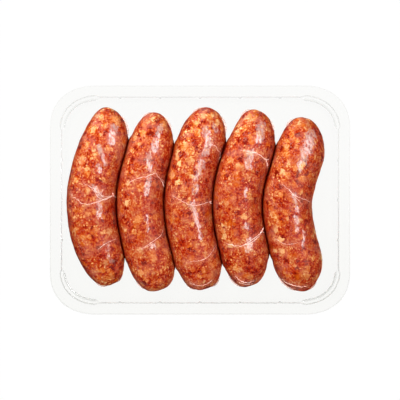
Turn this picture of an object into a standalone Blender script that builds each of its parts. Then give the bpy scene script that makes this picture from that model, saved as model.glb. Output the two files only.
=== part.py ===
# Open clear tray holding five raw sausages side by side
import math

import bmesh
import bpy
from mathutils import Vector

MM = 0.001

# Tray, in millimetres
TRAY_LENGTH = 190.0
TRAY_WIDTH = 145.0
TRAY_HEIGHT = 40.0
SHEET = 0.6
FLANGE_WIDTH = 7.7
LIP_DROP = 3.0
LIP_RADIUS = 0.8
WALL_DRAFT_DEG = 3.5
FLOOR_FILLET = 5.0
RIM_FILLET = 0.7
RIM_CORNER = (29.0, 26.0)
WELL_CORNER = (24.0, 21.0)
LEDGE_DEPTH = 6.0
LEDGE_OUT = 1.2
LEDGE_IN = 1.3
CORNER_STEPS = 8
SHARP_EDGE_DEG = 40.0

# Stiffening ribs pressed into the walls, a little fainter round the floor's edge
RIB_PITCH = 25.3
RIBS_LONG_SIDE = 5
RIBS_SHORT_SIDE = 3
RIB_TOP_WIDTH = 3.0
RIB_FOOT_WIDTH = 5.0
RIB_TOP_DEPTH = 0.7
RIB_FOOT_DEPTH = 0.9
RIB_CREST_SHARE = 0.45
RIB_FADE = 0.3

# Sausages, in millimetres and degrees
REST_GAP = 0.3
SAUSAGE_SIDES = 18
SAUSAGE_RINGS = 30
AXIS_STEPS = 400
CROWN_SHARE = 0.97
BELLY_SHARE = 0.94
BELLY_SQUARENESS = 0.8
TIP_DROP = 2.0

# middle: place of the middle on the tray's floor; girth: width across;
# lean: how far the whole sausage leans over to +X; bend: how far each end turns to +X;
# bend_length: share of the half length over which it turns; for each end,
# taper: length of the rounded end, bluntness: smaller is blunter, side: sideways shift of the tip
SAUSAGES = {
    "sausage_1": {
        "middle": (-69.7, 1.5), "length": 115.0, "girth": 30.2,
        "lean": 2.2, "bend": 28.0, "bend_length": 1.0,
        "top": {"taper": 26.0, "bluntness": 0.38, "side": -4.4},
        "foot": {"taper": 33.0, "bluntness": 0.36, "side": 0.0},
    },
    "sausage_2": {
        "middle": (-38.3, -1.5), "length": 116.0, "girth": 29.4,
        "lean": 0.8, "bend": 20.5, "bend_length": 0.6,
        "top": {"taper": 28.0, "bluntness": 0.45, "side": -3.0},
        "foot": {"taper": 23.0, "bluntness": 0.36, "side": 0.5},
    },
    "sausage_3": {
        "middle": (-7.4, 1.2), "length": 119.0, "girth": 30.2,
        "lean": 2.3, "bend": 22.0, "bend_length": 0.7,
        "top": {"taper": 23.5, "bluntness": 0.48, "side": -1.3},
        "foot": {"taper": 25.5, "bluntness": 0.36, "side": 0.3},
    },
    "sausage_4": {
        "middle": (24.3, 1.3), "length": 114.0, "girth": 31.2,
        "lean": 4.3, "bend": 21.0, "bend_length": 0.5,
        "top": {"taper": 30.0, "bluntness": 0.40, "side": -4.6},
        "foot": {"taper": 26.0, "bluntness": 0.42, "side": -1.9},
    },
    "sausage_5": {
        "middle": (56.2, -3.1), "length": 113.5, "girth": 31.4,
        "lean": 1.8, "bend": 18.0, "bend_length": 0.28,
        "top": {"taper": 25.0, "bluntness": 0.45, "side": -3.7},
        "foot": {"taper": 20.5, "bluntness": 0.62, "side": -0.5},
    },
}


def clear_scene():
    for obj in list(bpy.data.objects):
        bpy.data.objects.remove(obj, do_unlink=True)


def make_collection(name):
    collection = bpy.data.collections.new(name)
    bpy.context.scene.collection.children.link(collection)
    return collection


def make_material(name, color, roughness, transmission=0.0):
    material = bpy.data.materials.new(name)
    material.use_nodes = True
    shader = material.node_tree.nodes["Principled BSDF"]
    shader.inputs["Base Color"].default_value = (*color, 1.0)
    shader.inputs["Roughness"].default_value = roughness
    shader.inputs["Metallic"].default_value = 0.0
    shader.inputs["Transmission Weight"].default_value = transmission
    return material


def add_object(name, shape, material, collection):
    """Turns a bmesh into a smooth-shaded mesh object in the collection."""
    mesh = bpy.data.meshes.new(name)
    shape.to_mesh(mesh)
    shape.free()
    mesh.materials.append(material)
    mesh.shade_smooth()
    obj = bpy.data.objects.new(name, mesh)
    collection.objects.link(obj)
    return obj


def rib_places(count):
    return [(i - (count - 1) / 2) * RIB_PITCH for i in range(count)]


def ledge_share(step):
    """1 along a corner's arc and 0 at its two ends, where the ledge runs out into the straight walls."""
    return 0.0 if step in (0, CORNER_STEPS) else 1.0


def tray_ring(half, corner, height, rib_width=0.0, rib_depth=0.0, ledge=0.0):
    """Points of a rounded rectangle with ribs on its sides, counter-clockwise from the +X side.

    Every ring has the same number of points, so that rings join into bands.
    """
    half_x, half_y = half
    corner_x, corner_y = corner
    crest = RIB_CREST_SHARE
    across_rib = ((-0.5, 0.0), (-0.5 * crest, 1.0), (0.5 * crest, 1.0), (0.5, 0.0))
    points = []

    def add_side(along, outward, reach, ribs):
        for place in ribs:
            for share, raised in across_rib:
                offset = reach - raised * rib_depth
                points.append(outward * offset + along * (place + share * rib_width))

    def add_corner(sign_x, sign_y, start_deg):
        center = Vector((sign_x * (half_x - corner_x), sign_y * (half_y - corner_y), 0.0))
        for step in range(CORNER_STEPS + 1):
            angle = math.radians(start_deg + 90.0 * step / CORNER_STEPS)
            step_out = ledge * ledge_share(step)
            points.append(center + Vector((
                (corner_x + step_out) * math.cos(angle),
                (corner_y + step_out) * math.sin(angle),
                0.0,
            )))

    x_axis = Vector((1.0, 0.0, 0.0))
    y_axis = Vector((0.0, 1.0, 0.0))
    add_side(y_axis, x_axis, half_x, rib_places(RIBS_SHORT_SIDE))
    add_corner(1, 1, 0.0)
    add_side(-x_axis, y_axis, half_y, rib_places(RIBS_LONG_SIDE))
    add_corner(-1, 1, 90.0)
    add_side(-y_axis, -x_axis, half_x, rib_places(RIBS_SHORT_SIDE))
    add_corner(-1, -1, 180.0)
    add_side(x_axis, -y_axis, half_y, rib_places(RIBS_LONG_SIDE))
    add_corner(1, -1, 270.0)
    return [Vector((point.x, point.y, height)) * MM for point in points]


def tray_rings():
    """The rings of the tray's upper face, from the floor up the wall and out to the lip's edge."""
    rim_half = (TRAY_LENGTH / 2, TRAY_WIDTH / 2)
    well_half = (rim_half[0] - FLANGE_WIDTH, rim_half[1] - FLANGE_WIDTH)
    floor_top = SHEET
    slope = math.tan(math.radians(WALL_DRAFT_DEG))

    def ring_on_wall(height, inset=0.0, **relief):
        run = (TRAY_HEIGHT - height) * slope + inset
        half = (well_half[0] - run, well_half[1] - run)
        corner = (WELL_CORNER[0] - run, WELL_CORNER[1] - run)
        return tray_ring(half, corner, height, **relief)

    def ring_on_rim(outset, height):
        half = (well_half[0] + outset, well_half[1] + outset)
        share = outset / FLANGE_WIDTH
        corner = [w + (r - w) * share for w, r in zip(WELL_CORNER, RIM_CORNER)]
        return tray_ring(half, corner, height, rib_width=RIB_TOP_WIDTH)

    foot = {"rib_width": RIB_FOOT_WIDTH, "rib_depth": RIB_FOOT_DEPTH}
    top = {"rib_width": RIB_TOP_WIDTH, "rib_depth": RIB_TOP_DEPTH}
    ledge_height = TRAY_HEIGHT - LEDGE_DEPTH
    fillet_mid = FLOOR_FILLET * (1.0 - math.sqrt(0.5))
    return [
        ring_on_wall(floor_top, inset=FLOOR_FILLET, rib_width=RIB_FOOT_WIDTH),
        ring_on_wall(
            floor_top + fillet_mid, inset=fillet_mid,
            rib_width=RIB_FOOT_WIDTH, rib_depth=RIB_FADE * RIB_FOOT_DEPTH,
        ),
        ring_on_wall(floor_top + FLOOR_FILLET, **foot),
        ring_on_wall(ledge_height - SHEET, ledge=-LEDGE_IN, **top),
        ring_on_wall(ledge_height, ledge=LEDGE_OUT, **top),
        ring_on_wall(TRAY_HEIGHT - RIM_FILLET, ledge=LEDGE_OUT, **top),
        ring_on_rim(RIM_FILLET + LEDGE_OUT, TRAY_HEIGHT),
        ring_on_rim(FLANGE_WIDTH - LIP_RADIUS, TRAY_HEIGHT),
        ring_on_rim(FLANGE_WIDTH, TRAY_HEIGHT - LIP_RADIUS),
        ring_on_rim(FLANGE_WIDTH, TRAY_HEIGHT - LIP_DROP),
    ]


def make_tray(collection):
    shape = bmesh.new()
    rings = [[shape.verts.new(point) for point in ring] for ring in tray_rings()]
    shape.faces.new(rings[0])
    for inner, outer in zip(rings, rings[1:]):
        count = len(inner)
        for i in range(count):
            j = (i + 1) % count
            shape.faces.new((inner[i], outer[i], outer[j], inner[j]))
    material = make_material("clear_plastic", (0.92, 0.94, 0.93), 0.08, transmission=1.0)
    tray = add_object("tray", shape, material, collection)
    tray.data.set_sharp_from_angle(angle=math.radians(SHARP_EDGE_DEG))
    wall = tray.modifiers.new("sheet", "SOLIDIFY")
    wall.thickness = SHEET * MM
    wall.offset = -1.0
    wall.use_even_offset = True
    return tray


def heading(spec, along):
    """Angle from +Y of the sausage's axis, at -1 (foot) to 1 (top) along it."""
    bend_length = spec["bend_length"]
    turn = along / math.hypot(along, bend_length) * math.hypot(1.0, bend_length)
    return math.radians(spec["lean"] + spec["bend"] * turn)


def axis_points(spec):
    """Places along the sausage's bent axis from its foot to its top, with its middle at zero."""
    half = spec["length"] / 2
    stride = spec["length"] / AXIS_STEPS
    points = [Vector((0.0, 0.0))]
    for i in range(AXIS_STEPS):
        angle = heading(spec, (i + 0.5) * stride / half - 1.0)
        points.append(points[-1] + Vector((math.sin(angle), math.cos(angle))) * stride)
    middle = points[AXIS_STEPS // 2].copy()
    return [point - middle for point in points]


def end_share(end, from_tip):
    """0 where the rounded end starts, 1 at the tip."""
    return max(0.0, 1.0 - from_tip / end["taper"])


def section_at(spec, along):
    """Half width, sideways shift and nearness to a tip of the section at -1 (foot) to 1 (top)."""
    half = spec["length"] / 2
    top = end_share(spec["top"], (1.0 - along) * half)
    foot = end_share(spec["foot"], (1.0 + along) * half)
    narrowing = (1.0 - top ** 2) ** spec["top"]["bluntness"]
    narrowing *= (1.0 - foot ** 2) ** spec["foot"]["bluntness"]
    shift = spec["top"]["side"] * top ** 2 + spec["foot"]["side"] * foot ** 2
    return spec["girth"] / 2 * narrowing, shift, max(top, foot)


def section_point(around, half_width):
    """Across and up from the axis: round above, slightly slumped flat below."""
    across = half_width * math.cos(around)
    rise = math.sin(around)
    if rise >= 0.0:
        return across, half_width * CROWN_SHARE * rise
    return across, -half_width * BELLY_SHARE * abs(rise) ** BELLY_SQUARENESS


def make_sausage(name, spec, collection):
    """A sphere drawn out along the bent axis, its rings moved to the cross-sections."""
    shape = bmesh.new()
    bmesh.ops.create_uvsphere(
        shape, u_segments=SAUSAGE_SIDES, v_segments=SAUSAGE_RINGS, radius=1.0
    )
    points = axis_points(spec)
    axis_height = spec["girth"] / 2 * BELLY_SHARE
    for vert in shape.verts:
        along = max(-1.0, min(1.0, vert.co.z))
        around = math.atan2(-vert.co.y, vert.co.x)
        half_width, shift, tip_share = section_at(spec, along)
        across, rise = section_point(around, half_width)
        place = (along + 1.0) / 2 * AXIS_STEPS
        index = min(int(place), AXIS_STEPS - 1)
        middle = points[index].lerp(points[index + 1], place - index)
        angle = heading(spec, along)
        side = Vector((math.cos(angle), -math.sin(angle)))
        flat = middle + side * (across + shift)
        height = axis_height + rise - TIP_DROP * tip_share ** 2
        vert.co = Vector((flat.x, flat.y, height)) * MM
    material = make_material(f"{name}_meat", (0.36, 0.085, 0.05), 0.25)
    sausage = add_object(name, shape, material, collection)
    x, y = spec["middle"]
    sausage.location = Vector((x, y, SHEET + REST_GAP)) * MM
    return sausage


def main():
    clear_scene()
    collection = make_collection("tray_of_raw_sausages")
    tray = make_tray(collection)
    for name, spec in SAUSAGES.items():
        sausage = make_sausage(name, spec, collection)
        sausage.parent = tray


main()
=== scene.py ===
import math

import bmesh
import bpy
import numpy as np
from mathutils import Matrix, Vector, noise
from mathutils.bvhtree import BVHTree


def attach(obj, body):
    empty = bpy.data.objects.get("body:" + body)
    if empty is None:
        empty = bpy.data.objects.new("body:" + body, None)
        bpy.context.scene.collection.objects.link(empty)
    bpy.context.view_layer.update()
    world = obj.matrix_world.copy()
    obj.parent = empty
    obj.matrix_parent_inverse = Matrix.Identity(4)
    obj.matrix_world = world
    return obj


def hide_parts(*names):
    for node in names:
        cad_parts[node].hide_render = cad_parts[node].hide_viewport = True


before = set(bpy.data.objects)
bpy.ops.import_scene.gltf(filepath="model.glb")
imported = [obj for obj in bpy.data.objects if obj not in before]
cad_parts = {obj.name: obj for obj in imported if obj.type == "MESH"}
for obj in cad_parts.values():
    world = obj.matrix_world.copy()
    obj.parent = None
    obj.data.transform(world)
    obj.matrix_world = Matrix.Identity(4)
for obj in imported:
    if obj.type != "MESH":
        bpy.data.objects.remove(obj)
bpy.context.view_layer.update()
mm = 0.001


# Node helpers
def addNode(tree, kind, inputs=None, **settings):
    made = tree.nodes.new("ShaderNode" + kind)
    for key, value in settings.items():
        setattr(made, key, value)
    for key, value in (inputs or {}).items():
        if isinstance(value, bpy.types.NodeSocket):
            tree.links.new(value, made.inputs[key])
        else:
            made.inputs[key].default_value = value
    return made


def mathNode(tree, operation, first, second=0.0, clamp=False):
    return addNode(tree, "Math", {0: first, 1: second}, operation=operation, use_clamp=clamp).outputs[0]


def smoothBetween(tree, value, low, high, toLow=0.0, toHigh=1.0):
    ranged = addNode(
        tree, "MapRange",
        {"Value": value, "From Min": low, "From Max": high, "To Min": toLow, "To Max": toHigh},
        interpolation_type="SMOOTHSTEP",
    )
    return ranged.outputs["Result"]


def mixColor(tree, factor, first, second, blend="MIX"):
    mixed = addNode(tree, "Mix", data_type="RGBA", blend_type=blend, clamp_factor=True)
    for index, value in ((0, factor), (6, first), (7, second)):
        if isinstance(value, bpy.types.NodeSocket):
            tree.links.new(value, mixed.inputs[index])
        elif index == 0:
            mixed.inputs[index].default_value = value
        else:
            mixed.inputs[index].default_value = (*value, 1.0)
    return mixed.outputs[2]


def newMaterial(name):
    material = bpy.data.materials.new(name)
    material.use_nodes = True
    tree = material.node_tree
    tree.nodes.clear()
    output = addNode(tree, "OutputMaterial")
    return material, tree, output


def millimetres(tree, offset=(0.0, 0.0, 0.0)):
    place = addNode(tree, "TexCoord").outputs["Object"]
    scaled = addNode(tree, "VectorMath", {0: place, "Scale": 1000.0}, operation="SCALE").outputs[0]
    return addNode(tree, "VectorMath", {0: scaled, 1: offset}, operation="ADD").outputs[0]


# Tray, sizes in millimetres
tray = {
    "length": 190.0, "width": 145.0, "height": 40.0,
    "sheet": 0.45, "floorLift": 0.15,
    "flangeWidth": 7.7, "lipDrop": 3.0, "lipRadius": 0.9, "lipSteps": 4, "lipPaintedEdge": 0.06,
    "wallDraftDeg": 3.5, "floorFillet": 5.0, "rimFillet": 0.8,
    "rimCorner": (29.0, 26.0), "wellCorner": (24.0, 21.0),
    "ledgeDepth": 6.0, "ledgeOut": 1.2, "ledgeIn": 1.3, "ledgeEaseDeg": 9.0, "cornerSwell": 0.8,
    "ribPitch": 25.3, "ribsLongSide": 5, "ribsShortSide": 3,
    "ribTopWidth": 3.4, "ribFootWidth": 6.0, "ribTopDepth": 0.7, "ribFootDepth": 0.9,
    "ribSteps": 12, "cornerSteps": 32, "filletSteps": 5,
    # rings up the plain wall, and their distance from the floor's fillet and from the ledge
    "wallRings": 4, "aboveFillet": 5.0, "belowLedge": 2.0,
    # over the corner ledge: lift, share of ledgeIn (below 0) or of ledgeOut, and how much the painted line
    # at the bend shows
    "ledgeSteps": (
        (-0.6, -1.0, 0.0), (-0.25, -0.95, 0.8), (0.0, -0.75, 1.0), (0.05, -0.45, 0.5),
        (0.08, 0.55, 0.0), (0.2, 0.9, 0.0), (0.6, 1.0, 0.0),
    ),
    # how strongly the painted line at the rim's inner edge shows, from the wall outward, and the rings
    # before and after it
    "rimPaintedEdges": (0.5, 1.0, 0.8, 0.4, 0.0), "belowRim": 0.8, "beyondRim": 0.6,
}


def trayRing(half, corner, height, ribWidth, ribDepth=0.0, ledge=0.0):
    # one level outline: ribs along the sides, and arcs with a ledge round the corners
    share = np.linspace(-0.5, 0.5, tray["ribSteps"] + 1)
    swell = 0.5 + 0.5 * np.cos(2 * math.pi * share)
    turn = np.linspace(0.0, math.pi / 2, tray["cornerSteps"] + 1)
    ease = math.radians(tray["ledgeEaseDeg"])
    ledgeShare = np.clip(np.minimum(turn, math.pi / 2 - turn) / ease, 0.0, 1.0)
    ledgeShare = ledgeShare ** 2 * (3 - 2 * ledgeShare)
    ring = []
    inCorner = []
    for quarter in range(4):
        along = np.array([-math.sin(quarter * math.pi / 2), math.cos(quarter * math.pi / 2)])
        outward = np.array([along[1], -along[0]])
        onLongSide = quarter % 2 == 1
        reach = half[1] if onLongSide else half[0]
        ribs = tray["ribsLongSide"] if onLongSide else tray["ribsShortSide"]
        for rib in range(ribs):
            place = (rib - (ribs - 1) / 2) * tray["ribPitch"]
            ring.append(
                outward * (reach - swell * ribDepth)[:, None] + along * (place + share * ribWidth)[:, None]
            )
            inCorner.append(share * 0.0)
        signX, signY = outward + along
        center = np.array([signX * (half[0] - corner[0]), signY * (half[1] - corner[1])])
        angle = turn + quarter * math.pi / 2
        step = ledge * ledgeShare + tray["cornerSwell"] * np.sin(2 * turn) ** 2
        arc = np.stack([(corner[0] + step) * np.cos(angle), (corner[1] + step) * np.sin(angle)], 1)
        ring.append(center + arc)
        inCorner.append(ledgeShare)
    flat = np.concatenate(ring)
    return np.column_stack([flat, np.full(len(flat), height)]) * mm, np.concatenate(inCorner)


def trayRings():
    rimHalf = np.array([tray["length"], tray["width"]]) / 2
    wellHalf = rimHalf - tray["flangeWidth"]
    slope = math.tan(math.radians(tray["wallDraftDeg"]))
    floorTop = tray["sheet"] + tray["floorLift"]
    top = tray["height"]
    wellCorner = np.array(tray["wellCorner"])
    rimCorner = np.array(tray["rimCorner"])
    rings = []

    def addRing(ring, paintedEdgeShading, cornerPaintedEdge):
        points, inCorner = ring
        rings.append((points, paintedEdgeShading + (cornerPaintedEdge - paintedEdgeShading) * inCorner))

    def wallRing(height, inset=0.0, relief=1.0, ledge=0.0, paintedEdgeShading=0.0, cornerPaintedEdge=0.0):
        run = (top - height) * slope + inset
        down = (top - height) / top
        width = tray["ribTopWidth"] + (tray["ribFootWidth"] - tray["ribTopWidth"]) * down
        depth = tray["ribTopDepth"] + (tray["ribFootDepth"] - tray["ribTopDepth"]) * down
        ring = trayRing(wellHalf - run, wellCorner - run, height, width, depth * relief, ledge)
        addRing(ring, paintedEdgeShading, cornerPaintedEdge)

    def rimRing(outset, height, relief=0.0, ledge=0.0, paintedEdgeShading=0.0):
        share = max(0.0, outset) / tray["flangeWidth"]
        corner = wellCorner + (rimCorner - wellCorner) * share
        depth = tray["ribTopDepth"] * relief
        ring = trayRing(wellHalf + outset, corner, height, tray["ribTopWidth"], depth, ledge)
        addRing(ring, paintedEdgeShading, paintedEdgeShading)

    fillet = tray["floorFillet"]
    for step in range(tray["filletSteps"] + 1):
        turn = step / tray["filletSteps"] * math.pi / 2
        height = floorTop + fillet * (1 - math.cos(turn))
        wallRing(height, fillet * (1 - math.sin(turn)), math.sin(turn) ** 2, ledge=-tray["ledgeIn"])
    ledgeTop = top - tray["ledgeDepth"]
    lowest, highest = floorTop + fillet + tray["aboveFillet"], ledgeTop - tray["belowLedge"]
    for height in np.linspace(lowest, highest, tray["wallRings"]):
        wallRing(height, ledge=-tray["ledgeIn"])
    for lift, share, paintedEdgeShading in tray["ledgeSteps"]:
        ledge = tray["ledgeIn"] * share if share < 0 else tray["ledgeOut"] * share
        wallRing(ledgeTop + lift, ledge=ledge, cornerPaintedEdge=paintedEdgeShading)
    rimFillet = tray["rimFillet"]
    wallRing(top - rimFillet - tray["belowRim"], ledge=tray["ledgeOut"])
    for step, paintedEdgeShading in enumerate(tray["rimPaintedEdges"]):
        turn = step / (len(tray["rimPaintedEdges"]) - 1) * math.pi / 2
        outset = rimFillet * (1 - math.cos(turn))
        height = top - rimFillet * (1 - math.sin(turn))
        rimRing(outset, height, math.cos(turn) ** 2, tray["ledgeOut"] * math.cos(turn) ** 0.5, paintedEdgeShading)
    rimRing(rimFillet + tray["ledgeOut"] + tray["beyondRim"], top)
    lipRadius = tray["lipRadius"]
    for step in range(tray["lipSteps"] + 1):
        turn = step / tray["lipSteps"] * math.pi / 2
        outset = tray["flangeWidth"] - lipRadius * (1 - math.sin(turn))
        rimRing(outset, top - lipRadius * (1 - math.cos(turn)), paintedEdgeShading=tray["lipPaintedEdge"] * step)
    rimRing(tray["flangeWidth"], top - tray["lipDrop"])
    return rings


def meshObject(name, mesh, material):
    mesh.materials.append(material)
    mesh.shade_smooth()
    made = bpy.data.objects.new(name, mesh)
    bpy.context.scene.collection.objects.link(made)
    return made


clearPlastic = {
    # painted shade: the tint and the painted edge lines grow darker towards the front
    "tintBack": (0.979, 0.979, 0.973), "tintWithPaintedShadeFront": (0.969, 0.969, 0.960),
    "shadeFrontFrom": 40.0, "shadeFrontFull": -60.0,  # along Y in millimetres
    "film": (0.42, 0.43, 0.42),
    "faceOn": 0.002, "edgeOn": 0.01, "edgePower": 3.0,
    "paintedEdgeBack": 0.28, "paintedEdgeFront": 0.70,
    "rippleScale": 0.06, "rippleStrength": 0.25, "rippleDepth": 0.0006,
    "roughness": 0.09, "roughnessSpread": 0.05, "bending": 1.5,
}


def makeClearPlastic():
    material, tree, output = newMaterial("clearPlastic")
    look = clearPlastic
    place = millimetres(tree)
    alongY = addNode(tree, "SeparateXYZ", {0: place}).outputs[1]
    paintedShadeToFront = smoothBetween(tree, alongY, look["shadeFrontFrom"], look["shadeFrontFull"])
    noiseNode = addNode(tree, "TexNoise", {"Vector": place, "Scale": look["rippleScale"], "Detail": 2.0})
    ripple = noiseNode.outputs["Fac"]
    bump = addNode(tree, "Bump", {
        "Strength": look["rippleStrength"], "Distance": look["rippleDepth"], "Height": ripple,
    })
    facing = addNode(tree, "LayerWeight", {"Blend": 0.5}).outputs["Facing"]
    edge = mathNode(tree, "POWER", facing, look["edgePower"])
    share = smoothBetween(tree, edge, 0.0, 1.0, look["faceOn"], look["edgeOn"])
    # painted reflection: darker lines of the grey film along the sheet's bends, marked on the points
    paintedEdgeShading = addNode(tree, "Attribute", attribute_name="paintedEdgeShading").outputs["Fac"]
    # painted shade towards the front, as if lit from the back
    depth = smoothBetween(tree, paintedShadeToFront, 0.0, 1.0, look["paintedEdgeBack"], look["paintedEdgeFront"])
    share = mathNode(tree, "ADD", share, mathNode(tree, "MULTIPLY", paintedEdgeShading, depth), clamp=True)
    tint = mixColor(tree, paintedShadeToFront, look["tintBack"], look["tintWithPaintedShadeFront"])
    through = addNode(tree, "BsdfTransparent", {"Color": tint})
    roughest = look["roughness"] + look["roughnessSpread"]
    shine = addNode(tree, "BsdfPrincipled", {
        "Base Color": (*look["film"], 1.0),
        "Roughness": smoothBetween(tree, ripple, 0.3, 0.7, look["roughness"], roughest),
        "IOR": look["bending"],
        "Normal": bump.outputs["Normal"],
    })
    mixed = addNode(tree, "MixShader", {0: share, 1: through.outputs[0], 2: shine.outputs[0]})
    tree.links.new(mixed.outputs[0], output.inputs["Surface"])
    return material


def makeTray():
    shape = bmesh.new()
    # each point's share of the painted edge line
    marks = shape.verts.layers.float.new("paintedEdgeShading")
    rings = []
    for points, paintedEdges in trayRings():
        ring = [shape.verts.new(point) for point in points]
        for vertex, paintedEdgeShading in zip(ring, paintedEdges):
            vertex[marks] = paintedEdgeShading
        rings.append(ring)
    shape.faces.new(rings[0])
    for inner, outer in zip(rings, rings[1:]):
        for i in range(len(inner)):
            j = (i + 1) % len(inner)
            shape.faces.new((inner[i], outer[i], outer[j], inner[j]))
    mesh = bpy.data.meshes.new("formedTray")
    shape.to_mesh(mesh)
    shape.free()
    made = meshObject("formedTray", mesh, makeClearPlastic())
    sheet = made.modifiers.new("sheet", "SOLIDIFY")
    sheet.thickness = tray["sheet"] * mm
    sheet.offset = -1.0
    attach(made, "root")
    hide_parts("tray")
    print("tray formed:", len(mesh.polygons), "faces")


# Sausages, sizes in millimetres and degrees, as in the frame's solids
sausages = {
    "sausage_1": {
        "middle": (-69.7, 1.5), "length": 115.0, "girth": 30.2,
        "lean": 2.2, "bend": 28.0, "bendLength": 1.0,
        "top": {"taper": 26.0, "bluntness": 0.38, "side": -4.4},
        "foot": {"taper": 33.0, "bluntness": 0.36, "side": 0.0},
    },
    "sausage_2": {
        "middle": (-38.3, -1.5), "length": 116.0, "girth": 29.4,
        "lean": 0.8, "bend": 20.5, "bendLength": 0.6,
        "top": {"taper": 28.0, "bluntness": 0.45, "side": -3.0},
        "foot": {"taper": 23.0, "bluntness": 0.36, "side": 0.5},
    },
    "sausage_3": {
        "middle": (-7.4, 1.2), "length": 119.0, "girth": 30.2,
        "lean": 2.3, "bend": 22.0, "bendLength": 0.7,
        "top": {"taper": 23.5, "bluntness": 0.48, "side": -1.3},
        "foot": {"taper": 25.5, "bluntness": 0.36, "side": 0.3},
    },
    "sausage_4": {
        "middle": (24.3, 1.3), "length": 114.0, "girth": 31.2,
        "lean": 4.3, "bend": 21.0, "bendLength": 0.5,
        "top": {"taper": 30.0, "bluntness": 0.40, "side": -4.6},
        "foot": {"taper": 26.0, "bluntness": 0.42, "side": -1.9},
    },
    "sausage_5": {
        "middle": (56.2, -3.1), "length": 113.5, "girth": 31.4,
        "lean": 1.8, "bend": 18.0, "bendLength": 0.28,
        "top": {"taper": 25.0, "bluntness": 0.45, "side": -3.7},
        "foot": {"taper": 20.5, "bluntness": 0.62, "side": -0.5},
    },
}
sausageShape = {
    "rings": 230, "sides": 144, "axisSteps": 400, "sidePlaces": 301,
    "restHeight": 0.9, "soleHeight": 0.6,
    "crownShare": 0.97, "bellyShare": 0.94, "bellySquareness": 0.8, "tipDrop": 2.0,
    "touchGap": 2.6, "clearGap": 5.0, "touchOverlap": 0.06, "pressTightness": 5,
    # shares of touchGap and clearGap at a contact's ends, and where along Y both and the push are whole
    "touchAtEnds": 0.25, "clearAtEnds": 0.35, "gapFrom": 8.0, "gapOver": 26.0,
    "pushFrom": 5.0, "pushOver": 5.0,
    "lumpSize": 7.0, "lumpHeight": 0.30, "lumpSeed": 1,
    "grainSize": 2.4, "grainHeight": 0.13, "grainSeed": 11,
    "foldHeight": 0.35, "foldCount": 11, "foldMiddle": 0.6, "foldToTip": 6,
    "wanderSize": 9.0, "wanderMost": 2.5, "wanderSeed": 21,
    "fullness": 0.12, "seedStride": (17.3, 5.1, 9.7),
    # tone, partly painted shade, and the strength of the wetness and its painted sheen, from the foot end,
    # 0, to the top end, 1, which lie so in Y
    "footY": -58.0, "reachY": 117.0,
    "shadeFootToTop": ((0.0, 0.92), (0.07, 0.82), (0.16, 0.77), (0.35, 0.77), (0.75, 0.94), (1.0, 1.09)),
    "wetAndPaintedSheenFootToTop": ((0.0, 0.90), (0.5, 0.76), (0.65, 0.90), (0.85, 1.42)),
    # painted shade at the rim of the foot end
    "footRimFrom": 0.972, "footRimDepth": 0.34,
    # lean meat with less fat, darkened with painted shade, down the right side, above the foot, and a strip
    # of it at the left
    "leanPaintedShadeDepth": 0.12, "leanShadeRightFrom": 0.42, "leanShadeRightOver": 0.25, "leanShadeRise": 3.3, "leanShadeStart": 0.5,
    "leanShadeLeftFrom": 0.80, "leanShadeLeftOver": 0.15,
    # painted shade and light from the left side, -1, to the right side, 1
    "shadeAcross": (
        (-1.0, 1.0), (-0.75, 1.12), (-0.5, 1.08), (-0.1, 0.92), (0.4, 0.90),
        (0.6, 0.97), (0.8, 1.02), (1.0, 1.12),
    ),
    # painted shade deep in the gaps between neighbours, and painted light along the free edges, where a
    # share below 0 lightens
    "paintedGapShadeFrom": 0.92, "paintedGapShadeDepth": 0.89, "paintedGapShadeCurve": 1.3,
    "paintedEdgeLightFrom": 0.90, "paintedEdgeLightLeft": -0.05, "paintedEdgeLightRight": -0.60,
    "sheenStreakFall": 0.69, "fatFade": 1.5,  # wetness and painted sheen halve at a streak's half width, fat ends at 1.5 radii
}

# Slack outward bulges: side, place along the axis (-1 foot, 1 top), reach there and height in millimetres
bulges = {
    "sausage_1": ((-1, -0.05, 0.45, 0.8),),
    "sausage_3": ((-1, -0.93, 0.10, 0.9),),
}
# Where the casing is wet and shines, with a painted pale sheen in its colour, seen from above, in
# millimetres: x and y of both ends, half the width
wetAndPaintedSheenStreaks = {
    "sausage_1": (
        (-54.5, 46.5, -56.5, 37, 1.8), (-64.5, 34.5, -60, 22, 1.1), (-65, 22, -63.5, 18, 1.6),
        (-67.5, 8.5, -63.5, 2.5, 2.0), (-64, -0.5, -64, -10, 2.0), (-59.5, -28, -58.5, -32, 1.8),
        (-58, -36.5, -56.5, -39, 1.7),
    ),
    "sausage_2": (
        (-25.5, 46.5, -29.5, 31, 1.5), (-33, 28.5, -32.5, 20, 1.9), (-32.5, 14, -34.5, 4, 1.7),
        (-33.5, -10, -33, -20, 0.9), (-29.5, -29, -30.5, -30.5, 1.7),
    ),
    "sausage_3": (
        (9, 47.5, 10.5, 44.5, 1.2), (3.5, 45, 6, 36, 1.9), (6, 36, 3, 29, 1.9), (1.5, 23.5, -2.5, 14, 2.2),
        (-2.5, 9, -3.5, 5, 1.7), (-5, -2.5, -3.5, -10, 2.2), (-3.5, -10, -1, -16.5, 2.0),
        (-0.5, -19, 0.5, -25.5, 1.0),
    ),
    "sausage_4": (
        (39.5, 47.5, 38, 38, 2.1), (32, 29, 31, 21.5, 2.5), (29, 7.5, 28.5, 3, 1.1),
        (29.5, -14.5, 29.5, -17, 1.6), (32, -26, 30.5, -32, 2.2),
    ),
    "sausage_5": (
        (71, 41, 65.5, 25.5, 3.0), (62.5, 23, 64, 18.5, 1.3), (60, 3, 62, -7.5, 1.8),
        (61.5, -11, 61.5, -19, 1.7), (66.5, -20, 65.5, -29, 1.0),
    ),
}
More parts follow.
